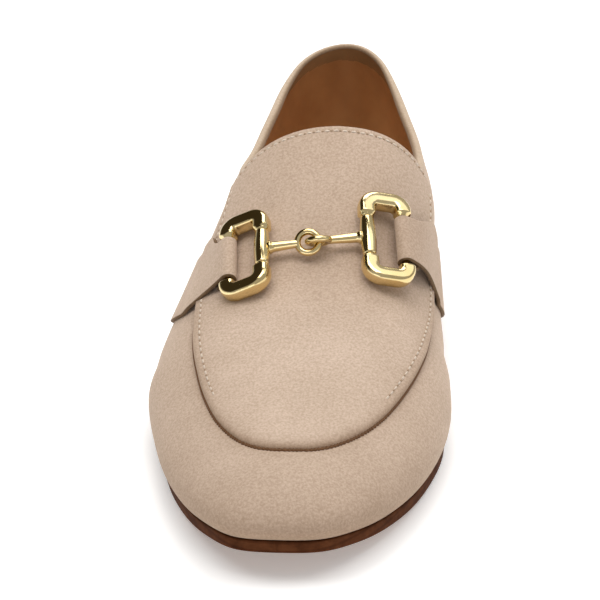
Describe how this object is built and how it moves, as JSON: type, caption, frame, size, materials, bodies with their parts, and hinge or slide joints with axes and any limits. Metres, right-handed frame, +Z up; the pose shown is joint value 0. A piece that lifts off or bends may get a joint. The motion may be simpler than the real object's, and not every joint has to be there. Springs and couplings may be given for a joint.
{
  "type": "bit loafer shoe",
  "caption": "Right bit loafer: suede upper on a low heel, raised apron with rounded tongue, saddle strap, and a metal bit of two rings joined by linked bars.",
  "frame": {"origin": "on the floor, at the centre of the heel's flat rest face", "axes": "+Z up, toe towards -Y, heel towards +Y, +X towards the medial (big toe) side"},
  "size_m": [0.0956, 0.2626, 0.0754],
  "materials": {
    "suede": "fine matte suede nap, pale beige",
    "lining_leather": "smooth brown lining leather, soft sheen",
    "sole_leather": "dark brown burnished sole leather",
    "lift_rubber": "matte dark rubber",
    "bit_metal": "polished gold-coloured metal"
  },
  "bodies": {
    "root": {"outsole": "sole_leather", "heel_block": "sole_leather", "heel_lift": "lift_rubber", "insole": "lining_leather", "upper": "suede", "apron": "suede", "saddle_strap_lateral": "suede", "saddle_strap_medial": "suede", "bit_ring_lateral": "bit_metal", "bit_ring_medial": "bit_metal", "bit_link_lateral": "bit_metal", "bit_link_medial": "bit_metal"}
  },
  "joints": []
}
